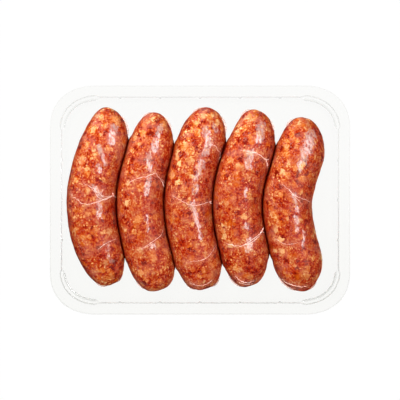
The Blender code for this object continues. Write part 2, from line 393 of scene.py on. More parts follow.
# Larger pieces of fat under the casing, as seen from above: x, y and radius in millimetres
fatPieces = {
    "sausage_1": (
        (-63, 52.5, 1.5), (-61, 48, 1.4), (-54, 52, 2.8), (-68.5, 44.5, 2.2), (-63.5, 41.5, 1.3),
        (-72, 36, 1.6), (-75.5, 27, 1.9), (-58, 33, 2.1), (-77, 20, 1.6), (-71.5, 17, 1.9),
        (-79.5, 12.5, 1.8), (-80.5, -6.5, 1.3), (-75.5, -6.5, 1.6), (-71.5, -8.5, 1.9), (-62.5, -3, 1.9),
        (-61.5, -10.5, 1.8), (-79, -19, 1.8), (-67, -20, 2.7), (-74.5, -23.5, 1.9), (-70.5, -24, 1.6),
        (-59.5, -23.5, 1.5), (-65.5, -25.5, 1.3), (-65.5, -45, 1.6), (-60, -40, 1.6), (-56.5, -47, 1.9),
    ),
    "sausage_2": (
        (-36.5, 42.5, 1.9), (-23.5, 49, 2.1), (-44, 32, 1.3), (-46.5, 18, 1.2), (-43, 18, 1.3),
        (-38, 9, 2.3), (-29.5, 10.5, 1.8), (-39, -12, 3.1), (-28.5, -11, 1.8), (-38.5, -22, 1.9),
        (-27, -26.5, 1.3), (-30.5, -34, 2.8), (-22.5, -32, 1.5), (-34.5, -45.5, 2.3), (-25.5, -52, 1.8),
    ),
    "sausage_3": (
        (6, 53, 1.7), (2, 53.5, 1.8), (-2.5, 49, 1.8), (-1.5, 43.5, 2.3), (8.5, 43.5, 1.3),
        (14.5, 45.5, 1.3), (-10.5, 34, 2.8), (-7, 30.5, 1.8), (-6.5, 24, 1.3), (-5.5, 18, 1.9),
        (-17.5, 15.5, 2.1), (-10.5, 7.5, 1.9), (-15.5, -7, 1.6), (-2, 0, 1.3), (-15, -25, 1.6),
        (-2.5, -29.5, 1.3), (2.5, -28, 1.3), (-6, -37.5, 1.4), (7.5, -48.5, 2.1), (2.5, -45.5, 1.6),
    ),
    "sausage_4": (
        (33.5, 51.5, 1.9), (28.5, 45.5, 1.5), (33.5, 37, 1.5), (19.5, 25, 1.9), (25, 21.5, 2.2),
        (15, 17.5, 1.7), (23, 17, 1.6), (30.5, 15.5, 2.1), (17, -2, 1.8), (21.5, 1.5, 1.6),
        (17.5, -15.5, 1.8), (32.5, -13.5, 1.9), (22.5, -26, 2.1), (18, -26, 1.4), (29, -23.5, 2.1),
        (28.5, -31, 2.3), (39.5, -39, 1.8), (31.5, -48.5, 2.2),
    ),
    "sausage_5": (
        (58.5, 42, 1.6), (55.5, 37.5, 1.8), (55, 34, 2.1), (55, 29, 2.2), (62, 37.5, 1.5),
        (53, 12, 1.8), (65, 13.5, 2.1), (55.5, 15.5, 1.9), (51.5, 3.5, 1.8), (55, -8, 2.2),
        (47, -8.5, 2.1), (50, -15, 2.1), (67, -33.5, 1.8), (64.5, -23.5, 1.8), (57, -35.5, 1.5),
    ),
}


def heading(spec, along):
    turn = along / np.hypot(along, spec["bendLength"]) * math.hypot(1.0, spec["bendLength"])
    return np.radians(spec["lean"] + spec["bend"] * turn)


def axisPlaces(spec, along):
    steps = sausageShape["axisSteps"]
    stride = spec["length"] / steps
    ends = np.linspace(-1.0, 1.0, steps + 1)
    angle = heading(spec, (ends[1:] + ends[:-1]) / 2)
    x = np.concatenate([[0.0], np.cumsum(np.sin(angle))]) * stride
    y = np.concatenate([[0.0], np.cumsum(np.cos(angle))]) * stride
    x += spec["middle"][0] - x[steps // 2]
    y += spec["middle"][1] - y[steps // 2]
    return np.interp(along, ends, x), np.interp(along, ends, y)


def sectionAt(spec, along):
    half = spec["length"] / 2
    top = np.clip(1.0 - (1.0 - along) * half / spec["top"]["taper"], 0.0, 1.0)
    foot = np.clip(1.0 - (1.0 + along) * half / spec["foot"]["taper"], 0.0, 1.0)
    narrowing = (1.0 - top ** 2) ** spec["top"]["bluntness"]
    narrowing = narrowing * (1.0 - foot ** 2) ** spec["foot"]["bluntness"]
    shift = spec["top"]["side"] * top ** 2 + spec["foot"]["side"] * foot ** 2
    return spec["girth"] / 2 * narrowing, shift, np.maximum(top, foot)


def sideLine(spec, side):
    along = np.sin(np.linspace(-math.pi / 2, math.pi / 2, sausageShape["sidePlaces"]))
    x, y = axisPlaces(spec, along)
    halfWidth, shift, _ = sectionAt(spec, along)
    angle = heading(spec, along)
    out = shift + side * halfWidth
    y = y - np.sin(angle) * out
    x = x + np.cos(angle) * out
    order = np.argsort(y)
    return x[order], y[order]


def pressAgainst(spec, other, side, y):
    # how far this side moves out to meet the neighbour, along +X times side
    ownX, ownY = sideLine(spec, side)
    otherX, otherY = sideLine(other, -side)
    gap = side * (np.interp(y, otherY, otherX) - np.interp(y, ownY, ownX))
    look = sausageShape
    fromEnds = np.minimum(y - max(ownY[0], otherY[0]), min(ownY[-1], otherY[-1]) - y)
    inner = np.clip((fromEnds - look["gapFrom"]) / look["gapOver"], 0.0, 1.0)
    touch = look["touchGap"] * (look["touchAtEnds"] + (1 - look["touchAtEnds"]) * inner)
    clear = look["clearGap"] * (look["clearAtEnds"] + (1 - look["clearAtEnds"]) * inner)
    near = 1.0 - np.clip((gap - touch) / (clear - touch), 0.0, 1.0)
    near = near * np.clip((fromEnds - look["pushFrom"]) / look["pushOver"], 0.0, 1.0)
    return near, (gap / 2 + look["touchOverlap"]) * near


def noiseAt(points, size, seed):
    offset = Vector([seed * stride for stride in sausageShape["seedStride"]])
    return np.array([noise.noise(Vector(point) / size + offset) for point in points])


def skinRelief(points, number, around, tipShare, pressed):
    # lumps and grains of mince, and folds where the casing gathers towards the tips
    look = sausageShape
    lumps = noiseAt(points, look["lumpSize"], number + look["lumpSeed"]) * look["lumpHeight"]
    grain = noiseAt(points, look["grainSize"], number + look["grainSeed"]) * look["grainHeight"]
    wander = noiseAt(points, look["wanderSize"], number + look["wanderSeed"]) * look["wanderMost"]
    folds = np.abs(np.sin(around * look["foldCount"] / 2 + wander)) - look["foldMiddle"]
    relief = lumps + grain + folds * look["foldHeight"] * tipShare ** look["foldToTip"]
    relief = (relief + look["fullness"]) * (1.0 - pressed)
    lowest = points[:, 2] < look["restHeight"] + look["soleHeight"]
    relief[lowest] = np.minimum(relief[lowest], 0.0)
    return relief


def addMark(mesh, name, values):
    mesh.attributes.new(name, "FLOAT", "POINT").data.foreach_set("value", values)


def markSkin(mesh, name, points, along, around, paintedEdgeShading):
    # lean meat, painted shade, wetness with its painted sheen, and fat at each point, for the meat's
    # material
    look = sausageShape
    toRight = np.cos(around)
    onTop = np.sin(around) > 0.0
    footToTop = (points[:, 1] - look["footY"]) / look["reachY"]
    leanAndShadedSide = np.clip((toRight - look["leanShadeRightFrom"]) / look["leanShadeRightOver"], 0.0, 1.0)
    leanAndShadedSide = leanAndShadedSide * np.clip(footToTop * look["leanShadeRise"] - look["leanShadeStart"], 0.0, 1.0)
    leanAndShadedLeft = np.clip((-toRight - look["leanShadeLeftFrom"]) / look["leanShadeLeftOver"], 0.0, 1.0)
    leanAndShadedSide = np.maximum(leanAndShadedSide, leanAndShadedLeft)
    addMark(mesh, "lean", leanAndShadedSide)
    shade = np.interp(footToTop, *zip(*look["shadeFootToTop"]))
    # painted shade on the lean side
    shade *= 1.0 - look["leanPaintedShadeDepth"] * leanAndShadedSide
    # painted shade and light across the sausage
    shade *= np.interp(toRight, *zip(*look["shadeAcross"]))
    # painted shade: a darker rim round the foot end
    footRim = np.clip((-along - look["footRimFrom"]) / (1 - look["footRimFrom"]), 0.0, 1.0)
    shade *= 1.0 - look["footRimDepth"] * footRim
    addMark(mesh, "shade", shade * (1.0 - paintedEdgeShading))
    wetAndPaintedSheen = np.zeros(len(points))
    for fromX, fromY, toX, toY, halfWidth in wetAndPaintedSheenStreaks[name]:
        run = np.array([toX - fromX, toY - fromY])
        away = points[:, :2] - (fromX, fromY)
        share = np.clip(away @ run / (run @ run), 0.0, 1.0)
        distance = np.linalg.norm(away - share[:, None] * run, axis=1)
        wetAndPaintedSheen = np.maximum(wetAndPaintedSheen, np.exp(-look["sheenStreakFall"] * (distance / halfWidth) ** 2) * onTop)
    wetAndPaintedSheen *= np.interp(footToTop, *zip(*look["wetAndPaintedSheenFootToTop"]))
    addMark(mesh, "wetAndPaintedSheen", wetAndPaintedSheen)
    fat = np.zeros(len(points))
    for pieceX, pieceY, radius in fatPieces[name]:
        away = np.hypot(points[:, 0] - pieceX, points[:, 1] - pieceY) / radius
        fat = np.maximum(fat, np.clip(look["fatFade"] - away, 0.0, 1.0) * onTop)
    addMark(mesh, "fat", fat)


def setPlaces(mesh, points):
    mesh.vertices.foreach_set("co", (points * mm).ravel())
    mesh.update()


def makeSausageMesh(name, number):
    # a ball drawn out along the bent axis, pressed against its neighbours, with its skin's relief
    spec = sausages[name]
    look = sausageShape
    shape = bmesh.new()
    bmesh.ops.create_uvsphere(shape, u_segments=look["sides"], v_segments=look["rings"], radius=1.0)
    mesh = bpy.data.meshes.new(name + "Meat")
    shape.to_mesh(mesh)
    shape.free()
    count = len(mesh.vertices)
    ball = np.empty(count * 3)
    mesh.vertices.foreach_get("co", ball)
    ball = ball.reshape(-1, 3)
    along = np.clip(ball[:, 2], -1.0, 1.0)
    around = np.arctan2(-ball[:, 1], ball[:, 0])
    halfWidth, shift, tipShare = sectionAt(spec, along)
    rise = np.sin(around)
    across = halfWidth * np.cos(around)
    upper = halfWidth * look["crownShare"] * rise
    lower = -halfWidth * look["bellyShare"] * np.abs(rise) ** look["bellySquareness"]
    height = spec["girth"] / 2 * look["bellyShare"] + np.where(rise >= 0.0, upper, lower)
    height -= look["tipDrop"] * tipShare ** 2
    angle = heading(spec, along)
    axisX, axisY = axisPlaces(spec, along)
    x = axisX + np.cos(angle) * (across + shift)
    y = axisY - np.sin(angle) * (across + shift)
    z = height + look["restHeight"]
    for side, place, reach, amount in bulges.get(name, ()):
        sideways = side * amount * np.clip(side * np.cos(around), 0.0, 1.0)
        x = x + sideways * np.exp(-((along - place) / reach) ** 2)
    pressed = np.zeros(count)
    # painted light along the free edges, then painted shade in the gaps where a neighbour presses
    paintedEdgeShading = np.clip((np.abs(np.cos(around)) - look["paintedEdgeLightFrom"]) / (1 - look["paintedEdgeLightFrom"]), 0.0, 1.0)
    paintedEdgeShading *= np.where(np.cos(around) > 0.0, look["paintedEdgeLightRight"], look["paintedEdgeLightLeft"])
    names = list(sausages)
    for side, neighbour in ((-1, number - 1), (1, number + 1)):
        if not 0 <= neighbour < len(names):
            continue
        facing = np.clip(side * np.cos(around), 0.0, 1.0) ** look["pressTightness"]
        near, push = pressAgainst(spec, sausages[names[neighbour]], side, y)
        x = x + side * push * facing
        pressed = np.maximum(pressed, near * facing)
        inward = np.clip((side * np.cos(around) - look["paintedGapShadeFrom"]) / (1 - look["paintedGapShadeFrom"]), 0.0, 1.0)
        deepest = inward ** look["paintedGapShadeCurve"] * look["paintedGapShadeDepth"]
        paintedEdgeShading = np.where(side * np.cos(around) > 0.0, paintedEdgeShading + (deepest - paintedEdgeShading) * near, paintedEdgeShading)
    points = np.column_stack([x, y, z])
    setPlaces(mesh, points)
    normals = np.empty(count * 3)
    mesh.vertex_normals.foreach_get("vector", normals)
    relief = skinRelief(points, number, around, tipShare, pressed)
    points = points + normals.reshape(-1, 3) * relief[:, None]
    setPlaces(mesh, points)
    markSkin(mesh, name, points, along, around, paintedEdgeShading)
    return mesh


meatLook = {
    # share along the mince field and the colour there
    "mince": (
        (0.05, (0.17, 0.005, 0.001)),
        (0.22, (0.33, 0.014, 0.002)),
        (0.38, (0.425, 0.040, 0.007)),
        (0.54, (0.50, 0.099, 0.022)),
        (0.72, (0.62, 0.242, 0.066)),
        (0.95, (0.79, 0.50, 0.23)),
    ),
    "paprika": (0.60, 0.13, 0.007),
    "mauve": (0.31, 0.052, 0.036),
    "casingMilk": (0.60, 0.31, 0.24),
    "duskMost": 0.30, "milkMost": 0.22, "veilMost": 0.50,
    # painted highlight: the pale sheen mixed into the colour where the casing is wet
    "paintedSheenPale": (0.48, 0.37, 0.35), "paintedSheenMost": 0.64, "sheenStreakRagged": 2.6,
    "fatRagged": 2.2, "fatMost": 0.68, "leanLoss": 0.70,
    "blobSize": 4.3, "crumbSize": 1.6, "netSize": 2.7, "netMost": 0.42,
    "warp": 4.0, "drawnOut": (1.0, 0.45, 1.0), "seedStride": (31.7, 12.9, 7.3),
    "greenPower": 1.9, "bluePower": 2.6,  # in the shade, green and blue fall faster than red
    "roughnessFrom": 0.36, "roughnessTo": 0.52, "gloss": 0.05,
    "coatDry": 0.0, "coatWet": 0.62, "coatRoughness": 0.22,
    "grainBump": 0.5, "grainDepth": 0.00035, "wrinkleBump": 0.6, "wrinkleDepth": 0.0008,
    "glow": 0.08, "glowRadius": (1.0, 0.35, 0.2), "glowScale": 0.0012,
}
# The mince field's parts: the value that leaves it as it is, and how much the part lifts it
minceParts = {
    "coarse": (0.594, 1.30), "fat": (0.0, 0.54), "halo": (0.0, 0.18), "lean": (0.0, -0.42),
    "crumb": (0.0, 0.60), "dark": (0.0, -0.18), "fine": (0.5, 1.32),
}
# Clouds of noise: scale per millimetre, detail and roughness
meatClouds = {
    "warp": (0.35, 2.0, 0.55), "fatAreas": (0.085, 1.0, 0.55), "fatEdge": (0.50, 3.0, 0.6),
    "coarse": (0.20, 3.0, 0.55), "fine": (0.80, 2.0, 0.6), "dusk": (0.20, 2.0, 0.55),
    "film": (0.13, 3.0, 0.6), "netAreas": (0.28, 2.0, 0.55), "wrinkle": (0.34, 3.0, 0.6),
    "torn": (0.55, 4.0, 0.7), "streaky": (0.85, 3.0, 0.65),
}
# Fades: from and to, then the results there, which are 0 and 1 or meatLook's where none are given
meatFades = {
    "fatAreas": (0.40, 0.58, 0.35, 1.05), "fatPick": (0.64, 0.80), "fatPiece": (0.12, 1.15),
    "core": (0.08, 0.66, 1.0, 0.0), "halo": (0.25, 1.0, 1.0, 0.0), "leanPick": (0.60, 0.72),
    "crumbCore": (0.08, 0.70, 1.0, 0.0), "crumbPick": (0.58, 0.78), "darkPick": (0.80, 0.90),
    "stained": (0.80, 0.86, 0.0, 0.85), "aroundPiece": (0.02, 0.30, 0.0, 0.40),
    "footFat": (-0.030, -0.052, 0.0, 0.9),  # along Y in metres
    "dusk": (0.54, 0.66), "milk": (0.50, 0.68), "veil": (0.35, 0.65, 0.1),
    "net": (0.0, 0.07), "netAreas": (0.45, 0.56),
    "wetAndPaintedSheen": (0.30, 0.74), "streaky": (0.38, 0.58, 0.20, 1.0), "roughness": (0.35, 0.7),
}


def makeMeat(name, seed):
    material, tree, output = newMaterial(name)
    look = meatLook
    place = millimetres(tree, [seed * stride for stride in look["seedStride"]])

    def cloud(kind, source=place):
        scale, detail, roughness = meatClouds[kind]
        made = addNode(
            tree, "TexNoise", {"Vector": source, "Scale": scale, "Detail": detail, "Roughness": roughness})
        return made.outputs

    def cells(size, **settings):
        return addNode(tree, "TexVoronoi", {"Vector": warped, "Scale": 1 / size}, **settings).outputs

    def fade(kind, value, *results):
        return smoothBetween(tree, value, *meatFades[kind], *results)

    def mark(kind):
        return addNode(tree, "Attribute", attribute_name=kind).outputs["Fac"]

    def times(first, second):
        return mathNode(tree, "MULTIPLY", first, second)

    def most(first, second):
        return mathNode(tree, "MAXIMUM", first, second)

    # cells of mince on a drifting grid
    centred = addNode(
        tree, "VectorMath", {0: cloud("warp")["Color"], 1: (0.5, 0.5, 0.5)}, operation="SUBTRACT").outputs[0]
    drift = addNode(tree, "VectorMath", {0: centred, "Scale": look["warp"]}, operation="SCALE").outputs[0]
    warped = addNode(tree, "VectorMath", {0: place, 1: drift}, operation="ADD").outputs[0]
    blobs = cells(look["blobSize"])
    crumbs = cells(look["crumbSize"])
    blobPick = addNode(tree, "SeparateColor", {0: blobs["Color"]}).outputs
    crumbPick = addNode(tree, "SeparateColor", {0: crumbs["Color"]}).outputs

    # fat, lean and crumbs, added up to the field that sets the colour
    leanLoss = times(mark("lean"), look["leanLoss"])
    fatShare = fade("fatAreas", cloud("fatAreas")["Fac"])
    fatShare = mathNode(tree, "SUBTRACT", fatShare, leanLoss, clamp=True)
    fatCells = times(fade("fatPick", blobPick[0]), fatShare)
    fatEdge = times(mathNode(tree, "SUBTRACT", cloud("fatEdge")["Fac"], 0.5), look["fatRagged"])
    piece = fade("fatPiece", mathNode(tree, "ADD", mark("fat"), fatEdge), 0.0, look["fatMost"])
    core = fade("core", blobs["Distance"])
    crumbCore = fade("crumbCore", crumbs["Distance"])
    parts = {
        "coarse": cloud("coarse", warped)["Fac"],
        "fat": most(times(core, fatCells), piece),
        "halo": times(fade("halo", blobs["Distance"]), fatCells),
        "lean": times(core, fade("leanPick", blobPick[1])),
        "crumb": times(times(crumbCore, fade("crumbPick", crumbPick[0])), fatShare),
        "dark": times(crumbCore, fade("darkPick", crumbPick[1])),
        "fine": cloud("fine")["Fac"],
    }
    field = 0.5
    for part, value in parts.items():
        middle, weight = minceParts[part]
        field = mathNode(tree, "ADD", times(mathNode(tree, "SUBTRACT", value, middle), weight), field)
    ramp = addNode(tree, "ValToRGB", {0: field})
    stops = ramp.color_ramp.elements
    mince = look["mince"]
    for stop, (position, tone) in zip(stops, (mince[0], mince[-1])):
        stop.position = position
        stop.color = (*tone, 1.0)
    for position, tone in mince[1:-1]:
        stops.new(position).color = (*tone, 1.0)

    # paprika in some grains, round the larger fat and in the fat of the feet, and a dusky bloom
    trayY = addNode(tree, "SeparateXYZ", {0: addNode(tree, "TexCoord").outputs["Object"]}).outputs[1]
    stained = most(times(core, fade("stained", blobPick[2])), fade("aroundPiece", piece))
    stained = most(stained, times(parts["fat"], fade("footFat", trayY)))
    color = mixColor(tree, stained, ramp.outputs["Color"], look["paprika"])
    dusk = fade("dusk", cloud("dusk")["Fac"], 0.0, look["duskMost"])
    color = mixColor(tree, dusk, color, look["mauve"])

    # milky casing: in patches, beside the strands and in a fine net
    film = cloud("film")["Fac"]
    milk = fade("milk", film, 0.0, look["milkMost"])
    milk = most(milk, times(mark("veil"), fade("veil", parts["fine"], look["veilMost"])))
    seams = cells(look["netSize"], feature="DISTANCE_TO_EDGE")
    net = fade("net", seams["Distance"], look["netMost"], 0.0)
    milk = most(milk, times(net, fade("netAreas", cloud("netAreas")["Fac"])))
    color = mixColor(tree, milk, color, look["casingMilk"])

    # torn streaks of wet shine with a painted pale sheen, then the painted shade marked on the points
    drawn = addNode(tree, "VectorMath", {0: place, 1: look["drawnOut"]}, operation="MULTIPLY").outputs[0]
    torn = times(mathNode(tree, "SUBTRACT", cloud("torn", drawn)["Fac"], 0.5), look["sheenStreakRagged"])
    wetAndPaintedSheen = fade("wetAndPaintedSheen", mathNode(tree, "ADD", mark("wetAndPaintedSheen"), torn))
    wetAndPaintedSheen = times(wetAndPaintedSheen, fade("streaky", cloud("streaky", drawn)["Fac"]))
    # painted highlight: a pale sheen mixed into the colour where the casing is wet
    color = mixColor(tree, times(wetAndPaintedSheen, look["paintedSheenMost"]), color, look["paintedSheenPale"])
    # painted shade: the marked shade darkens the colour, green and blue faster than red
    shade = mark("shade")
    tint = addNode(tree, "CombineColor", {
        0: shade, 1: mathNode(tree, "POWER", shade, look["greenPower"]),
        2: mathNode(tree, "POWER", shade, look["bluePower"]),
    })
    color = mixColor(tree, 1.0, color, tint.outputs[0], "MULTIPLY")

    bump = addNode(
        tree, "Bump", {"Strength": look["grainBump"], "Distance": look["grainDepth"], "Height": field})
    coatBump = addNode(tree, "Bump", {
        "Strength": look["wrinkleBump"], "Distance": look["wrinkleDepth"],
        "Height": cloud("wrinkle", drawn)["Fac"],
    })
    shader = addNode(tree, "BsdfPrincipled", {
        "Base Color": color,
        "Roughness": fade("roughness", film, look["roughnessFrom"], look["roughnessTo"]),
        "Specular IOR Level": look["gloss"],
        "Normal": bump.outputs["Normal"],
        "Coat Weight": smoothBetween(tree, wetAndPaintedSheen, 0.0, 1.0, look["coatDry"], look["coatWet"]),
        "Coat Roughness": look["coatRoughness"],
        "Coat Normal": coatBump.outputs["Normal"],
        "Subsurface Weight": look["glow"],
        "Subsurface Radius": look["glowRadius"],
        "Subsurface Scale": look["glowScale"],
    })
    tree.links.new(shader.outputs[0], output.inputs["Surface"])
    return material


# Casing threads, in millimetres: the thickness at the middle, then the path seen from above
threads = {
    "sausage_1": (
        (0.26, (-83.4, 4.0), (-79.3, 1.0), (-75.5, -1.9), (-71.0, -3.0)),
        (0.40, (-72.5, -3.2), (-66.0, -1.4), (-61.5, 0.3), (-55.1, 3.4)),
        (0.34, (-64.0, 1.0), (-60.0, 0.4), (-55.1, 3.4)),
        (1.20, (-55.9, 4.6), (-55.0, 2.9), (-54.4, 1.4)),
        (0.90, (-54.9, 3.2), (-57.5, 2.1)),
        (0.34, (-74.0, 10.5), (-69.5, 8.3), (-65.5, 5.0), (-61.0, 2.4), (-57.3, 2.4)),
        (0.28, (-69.0, 7.6), (-67.0, 5.0), (-65.0, 2.2), (-63.4, 0.2)),
        (0.22, (-66.0, 5.2), (-63.4, 4.6), (-61.9, 6.4), (-63.0, 3.0), (-60.6, 1.6)),
        (0.30, (-65.0, -31.5), (-60.5, -28.0), (-57.0, -26.2), (-53.8, -25.0)),
    ),
    "sausage_2": (
        (0.40, (-45.5, 11.1), (-39.8, 13.7), (-34.1, 15.0), (-28.6, 16.9), (-25.8, 13.7), (-23.2, 9.9),
         (-23.2, 7.6)),
        (0.34, (-25.8, 13.7), (-23.0, 11.8), (-21.9, 9.2)),
        (1.00, (-24.1, 11.6), (-23.4, 10.0), (-23.3, 8.4)),
        (0.34, (-39.0, -31.5), (-35.5, -30.0), (-30.5, -26.8), (-25.0, -22.6), (-23.6, -19.0)),
        (0.24, (-37.5, -31.6), (-33.5, -29.6), (-29.5, -27.6)),
    ),
    "sausage_3": (
        (0.36, (7.3, 36.0), (10.5, 33.4), (13.1, 29.0), (12.1, 25.5)),
        (0.40, (-17.5, 2.9), (-10.0, -1.5), (-2.9, -3.5), (6.7, -1.0)),
        (1.00, (6.2, -1.0), (7.4, -1.9), (8.6, -3.0)),
        (0.75, (6.7, -1.0), (9.2, 0.2)),
        (0.26, (-9.2, -39.8), (3.5, -37.3), (10.5, -29.0)),
        (0.42, (-6.5, -52.8), (-2.0, -54.7), (3.5, -54.2), (7.5, -51.5)),
    ),
    "sausage_4": (
        (0.52, (25.8, 31.4), (31.5, 31.0), (36.6, 29.6), (40.9, 26.4), (42.4, 23.8)),
        (0.30, (29.0, 29.9), (34.0, 29.8), (38.0, 28.6)),
        (0.90, (41.0, 26.4), (42.6, 25.6), (44.0, 26.2)),
        (1.05, (42.2, 25.4), (42.9, 23.0), (43.4, 20.6)),
        (0.60, (17.1, -27.9), (22.0, -29.0), (27.4, -28.8), (36.4, -23.0), (40.6, -19.0)),
        (1.25, (38.6, -21.2), (39.8, -19.6), (40.6, -17.6)),
        (0.95, (38.9, -20.3), (40.6, -21.2)),
        (0.48, (27.4, -28.9), (32.0, -27.5), (36.0, -24.6), (39.4, -21.4)),
        (0.50, (22.5, -49.0), (26.5, -51.9), (31.0, -52.9), (35.5, -51.4)),
        (0.34, (25.0, -52.4), (29.5, -54.3), (34.0, -53.4)),
    ),
    "sausage_5": (
        (0.40, (52.5, 9.8), (56.5, 6.6), (60.1, 2.9), (65.8, 0.8), (70.5, -1.4)),
        (0.30, (57.5, 4.4), (61.5, 1.0), (64.5, -2.2)),
        (0.22, (47.0, -24.0), (54.0, -28.0), (62.0, -27.5)),
        (0.50, (52.0, -50.6), (56.0, -53.2), (61.5, -55.0), (68.0, -55.6)),
        (0.36, (50.3, -52.0), (54.5, -55.0), (60.0, -56.6)),
    ),
}
# Loose casing beside the ends: side, from and to along the axis (-1 foot, 1 top), width in millimetres
looseCasing = {
    "sausage_1": ((1, 0.80, 0.985, 1.2), (-1, -0.992, -0.90, 0.8), (1, -0.9995, -0.97, 0.7)),
    "sausage_2": ((-1, 0.88, 0.985, 0.8), (1, 0.86, 0.985, 0.9), (-1, -0.93, -0.82, 0.6)),
    "sausage_3": (
        (-1, 0.86, 0.97, 0.8), (1, 0.80, 0.97, 1.1), (-1, -0.97, -0.86, 0.9), (1, -0.999, -0.94, 0.9),
    ),
    "sausage_4": ((-1, 0.84, 0.97, 1.1), (1, 0.84, 0.97, 0.9), (-1, -0.985, -0.80, 0.9)),
    "sausage_5": ((-1, 0.82, 0.95, 0.9), (-1, -0.97, -0.74, 0.9), (1, -0.995, -0.93, 0.8)),
}
threadLook = {
    "step": 0.7, "sides": 8, "wobble": 0.6, "wobbleSteps": (0.35, 7.0, 3.0), "lift": 0.04,
    "stoutness": 0.86, "endShare": 0.35, "endCap": 0.04,
    "dropFrom": 80.0, "lowestSpot": 9.0, "veilReach": 2.4, "noVeil": 100.0,
    "pale": (0.84, 0.63, 0.55), "pink": (0.66, 0.27, 0.20), "patchScale": 0.8, "patches": (0.4, 0.62),
    "roughness": 0.35, "coat": 0.3,
}
filmLook = {
    "steps": 34, "thickness": 0.12, "aboveMiddle": 1.0, "tuckIn": 0.6, "curlUp": 0.3,
    "endCurve": 0.6, "ragged": 0.35, "raggedSteps": (5.0, 3.0, 9.0), "rimRadius": 0.04, "rimSwell": 0.04,
    "tone": (0.66, 0.42, 0.35), "patchScale": 0.5, "patches": (0.35, 0.65, 0.28, 0.68),
}


def smoothPath(path, step):
    points = np.array(path)
    padded = np.vstack([2 * points[0] - points[1], points, 2 * points[-1] - points[-2]])
    places = []
    for i in range(len(points) - 1):
        before, first, second, after = padded[i:i + 4]
        count = max(2, int(np.linalg.norm(second - first) / step))
        for t in np.arange(count) / count:
            places.append(0.5 * (
                2 * first + (second - before) * t
                + (2 * before - 5 * first + 4 * second - after) * t ** 2
                + (3 * first - before - 3 * second + after) * t ** 3
            ))
    places.append(points[-1])
    return np.array(places)


def addTube(shape, centers, normals, radii):
    sides = threadLook["sides"]
    rings = []
    for i, center in enumerate(centers):
        forward = centers[min(i + 1, len(centers) - 1)] - centers[max(i - 1, 0)]
        sideways = forward.cross(normals[i]).normalized()
        upward = sideways.cross(forward).normalized()
        turns = [2 * math.pi * k / sides for k in range(sides)]
        rings.append([
            shape.verts.new((center + (sideways * math.cos(t) + upward * math.sin(t)) * radii[i]) * mm)
            for t in turns
        ])
    for first, second in zip(rings, rings[1:]):
        for k in range(sides):
            j = (k + 1) % sides
            shape.faces.new((first[k], first[j], second[j], second[k]))
    shape.faces.new(rings[0][::-1])
    shape.faces.new(rings[-1])


def casingEdge(name, side, first, last, width):
    # a loose strip's line under the skin and its ragged outer line
    spec = sausages[name]
    turn = np.linspace(math.asin(first), math.asin(last), filmLook["steps"])
    along = np.sin(turn)
    halfWidth, shift, tipShare = sectionAt(spec, along)
    angle = heading(spec, along)
    axisX, axisY = axisPlaces(spec, along)
    out = shift + side * halfWidth
    edge = np.column_stack([axisX + np.cos(angle) * out, axisY - np.sin(angle) * out])
    run = np.gradient(edge, axis=0)
    run /= np.linalg.norm(run, axis=1)[:, None]
    outward = np.column_stack([run[:, 1], -run[:, 0]]) * side
    share = np.linspace(0.0, 1.0, len(turn))
    reach = width * np.sin(math.pi * share) ** filmLook["endCurve"]
    stepOn, stepSide, stepFirst = filmLook["raggedSteps"]
    spots = [Vector((s * stepOn, side * stepSide, first * stepFirst)) for s in share]
    reach *= 1.0 + filmLook["ragged"] * np.array([noise.noise(spot) for spot in spots])
    height = spec["girth"] / 2 * sausageShape["bellyShare"] + sausageShape["restHeight"]
    height = height - sausageShape["tipDrop"] * tipShare ** 2 + filmLook["aboveMiddle"]
    inner = np.column_stack([edge - outward * filmLook["tuckIn"], height])
    outer = np.column_stack([edge + outward * reach[:, None], height + filmLook["curlUp"]])
    return inner, outer


def addFilm(shape, inner, outer):
    # a thin closed strip between the two lines
    lines = []
    for lift in (filmLook["thickness"] / 2, -filmLook["thickness"] / 2):
        for line in (inner, outer):
            places = (line + np.array([0.0, 0.0, lift])) * mm
            lines.append([shape.verts.new(point) for point in places])
    innerTop, outerTop, innerLow, outerLow = lines
    for i in range(len(inner) - 1):
        j = i + 1
        shape.faces.new((innerTop[i], outerTop[i], outerTop[j], innerTop[j]))
        shape.faces.new((innerLow[j], outerLow[j], outerLow[i], innerLow[i]))
        shape.faces.new((outerTop[i], outerLow[i], outerLow[j], outerTop[j]))
        shape.faces.new((innerTop[j], innerLow[j], innerLow[i], innerTop[i]))
    for i, flip in ((0, False), (-1, True)):
        face = (innerTop[i], innerLow[i], outerLow[i], outerTop[i])
        shape.faces.new(face[::-1] if flip else face)
    bmesh.ops.recalc_face_normals(shape, faces=shape.faces)


def makeLooseCasing(name, number, shape, material):
    film = bmesh.new()
    for side, first, last, width in looseCasing[name]:
        inner, outer = casingEdge(name, side, first, last, width)
        addFilm(film, inner, outer)
        # its outer line is thickened to a fine cord
        centers = [Vector(point) for point in outer]
        turns = [math.pi * i / (len(centers) - 1) for i in range(len(centers))]
        radii = [filmLook["rimRadius"] + filmLook["rimSwell"] * math.sin(turn) for turn in turns]
        addTube(shape, centers, [Vector((0.0, 0.0, 1.0))] * len(centers), radii)
    mesh = bpy.data.meshes.new(name + "Film")
    film.to_mesh(mesh)
    film.free()
    return meshObject(f"film_{number + 1}", mesh, material)


